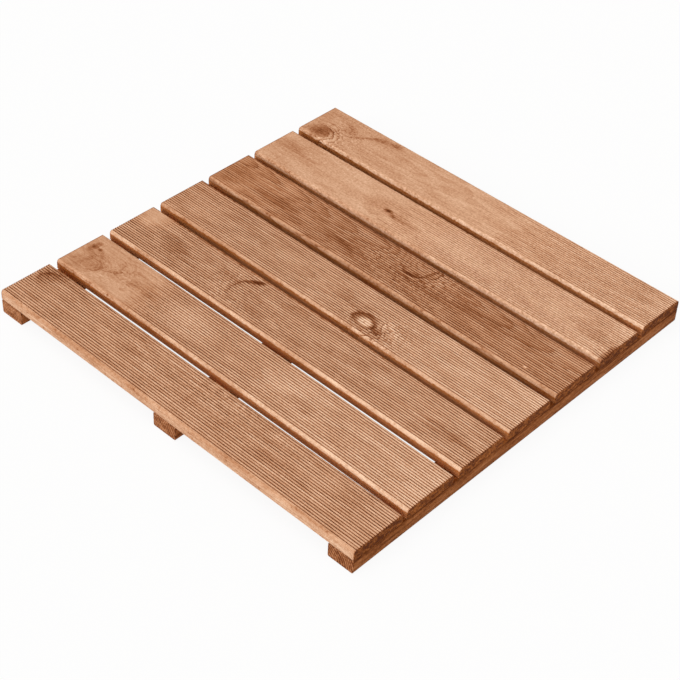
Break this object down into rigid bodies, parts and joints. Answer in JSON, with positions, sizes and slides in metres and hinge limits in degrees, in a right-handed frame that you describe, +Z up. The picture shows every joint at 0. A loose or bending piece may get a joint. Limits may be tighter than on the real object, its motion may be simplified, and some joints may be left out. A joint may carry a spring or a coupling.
{
  "type": "slatted timber deck tile",
  "caption": "Square timber deck tile of reeded slats laid side by side on cross battens, with narrow drainage gaps between them.",
  "frame": {"origin": "centre of the tile's underside, in the plane of the battens' lower faces", "axes": "+X along the slats, +Y across the slats towards the far edge, +Z up through the walking surface"},
  "size_m": [0.5, 0.5, 0.029],
  "materials": {
    "slat_timber": "reeded, planed softwood, brown pressure treatment",
    "batten_timber": "planed softwood, brown pressure treatment",
    "screw": "plain zinc plate"
  },
  "bodies": {
    "root": {"slat_1": "slat_timber", "slat_2": "slat_timber", "slat_3": "slat_timber", "slat_4": "slat_timber", "slat_5": "slat_timber", "slat_6": "slat_timber", "slat_7": "slat_timber", "batten_left": "batten_timber", "batten_middle": "batten_timber", "batten_right": "batten_timber", "deck_screws": "screw"}
  },
  "joints": []
}
